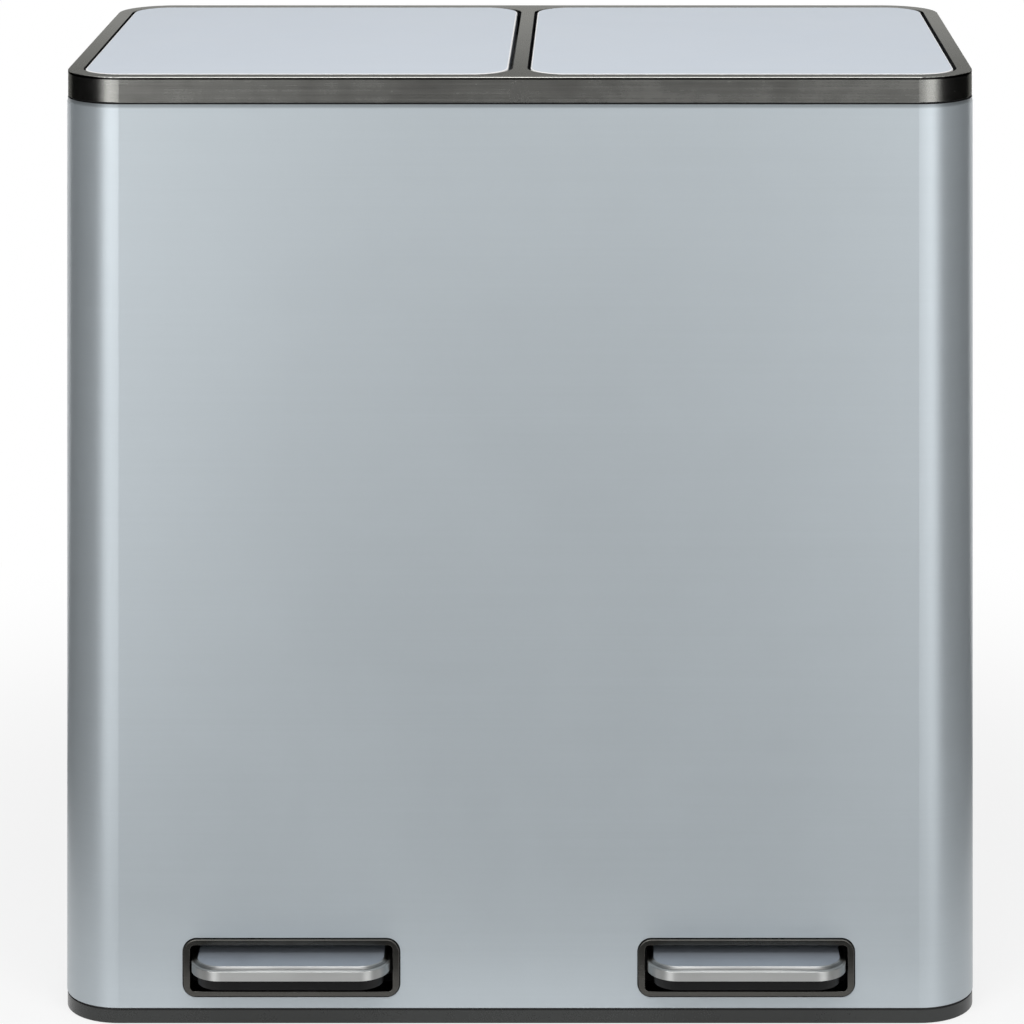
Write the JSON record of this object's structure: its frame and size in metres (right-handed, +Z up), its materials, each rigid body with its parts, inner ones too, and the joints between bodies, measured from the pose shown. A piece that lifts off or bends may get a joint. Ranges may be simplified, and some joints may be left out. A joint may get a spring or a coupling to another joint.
{
  "type": "double recycling bin",
  "caption": "Free-standing rectangular pedal bin with two side-by-side compartments, flush lids in a dark rim, and a foot pedal under each lid.",
  "frame": {"origin": "on the floor, under the middle of the whole bin's box, pedals included", "axes": "+Z up, +X to the right seen from the front, +Y to the rear; the pedals stand out at -Y"},
  "size_m": [0.59, 0.3572, 0.608],
  "materials": {
    "base_plastic": "dark grey moulded plastic, fine grain",
    "body_paint": "satin metallic blue-grey paint on sheet steel",
    "bucket_plastic": "mid-grey moulded plastic",
    "foot_rubber": "black rubber",
    "frame_plastic": "black moulded plastic",
    "lid_paint": "satin pale blue-grey paint on pressed steel",
    "liner_plastic": "dark grey moulded plastic",
    "pedal_chrome": "polished steel",
    "pedal_plastic": "black moulded plastic",
    "pedal_steel": "satin brushed steel",
    "plated_steel": "zinc-plated steel",
    "rim_metal": "dark bronze-grey satin metal, lightly brushed"
  },
  "bodies": {
    "body": {"outer_shell": "body_paint", "base_tray": "base_plastic", "base_feet": "foot_rubber", "shell_screws": "plated_steel", "top_rim": "rim_metal", "lid_frame": "frame_plastic", "left_pedal_frame": "rim_metal", "left_pedal_well": "frame_plastic", "left_pedal_bearings": "frame_plastic", "left_rod_guides": "frame_plastic", "left_bucket": "bucket_plastic", "left_bucket_handle": "plated_steel", "right_pedal_frame": "rim_metal", "right_pedal_well": "frame_plastic", "right_pedal_bearings": "frame_plastic", "right_rod_guides": "frame_plastic", "right_bucket": "bucket_plastic", "right_bucket_handle": "plated_steel"},
    "left_lid": {"left_lid_skin": "lid_paint", "left_lid_liner": "liner_plastic", "left_lid_bumpers": "foot_rubber", "left_hinge_pins": "plated_steel", "left_lid_crank": "plated_steel", "left_crank_pin": "plated_steel"},
    "left_rod": {"left_push_rod": "plated_steel"},
    "left_pedal": {"left_pedal_bezel": "pedal_chrome", "left_pedal_plate": "pedal_steel", "left_pedal_core": "pedal_plastic", "left_pedal_lever": "plated_steel", "left_pedal_axle": "plated_steel"},
    "right_lid": {"right_lid_skin": "lid_paint", "right_lid_liner": "liner_plastic", "right_lid_bumpers": "foot_rubber", "right_hinge_pins": "plated_steel", "right_lid_crank": "plated_steel", "right_crank_pin": "plated_steel"},
    "right_rod": {"right_push_rod": "plated_steel"},
    "right_pedal": {"right_pedal_bezel": "pedal_chrome", "right_pedal_plate": "pedal_steel", "right_pedal_core": "pedal_plastic", "right_pedal_lever": "plated_steel", "right_pedal_axle": "plated_steel"}
  },
  "joints": [
    {"name": "left_lid_hinge", "type": "hinge", "parent": "body", "child": "left_lid", "pos_m": [-0.14538, 0.1385, 0.602], "axis": [-1, 0, 0], "range_deg": [0, 80]},
    {"name": "left_rod_slide", "type": "slide", "parent": "body", "child": "left_rod", "axis": [0, 0, 1], "range_m": [0, 0.01656]},
    {"name": "left_pedal_hinge", "type": "hinge", "parent": "body", "child": "left_pedal", "pos_m": [-0.146, -0.0486, 0.03], "axis": [1, 0, 0], "range_deg": [0, 5.42]},
    {"name": "right_lid_hinge", "type": "hinge", "parent": "body", "child": "right_lid", "pos_m": [0.14458, 0.1385, 0.602], "axis": [-1, 0, 0], "range_deg": [0, 80]},
    {"name": "right_rod_slide", "type": "slide", "parent": "body", "child": "right_rod", "axis": [0, 0, 1], "range_m": [0, 0.01656]},
    {"name": "right_pedal_hinge", "type": "hinge", "parent": "body", "child": "right_pedal", "pos_m": [0.146, -0.0486, 0.03], "axis": [1, 0, 0], "range_deg": [0, 5.42]}
  ],
  "couplings": [
    {"joint": "left_rod_slide", "follows": "left_lid_hinge", "m_per_rad": 0.011827},
    {"joint": "left_pedal_hinge", "follows": "left_lid_hinge", "ratio": 0.0675},
    {"joint": "right_rod_slide", "follows": "right_lid_hinge", "m_per_rad": 0.011827},
    {"joint": "right_pedal_hinge", "follows": "right_lid_hinge", "ratio": 0.0675}
  ]
}
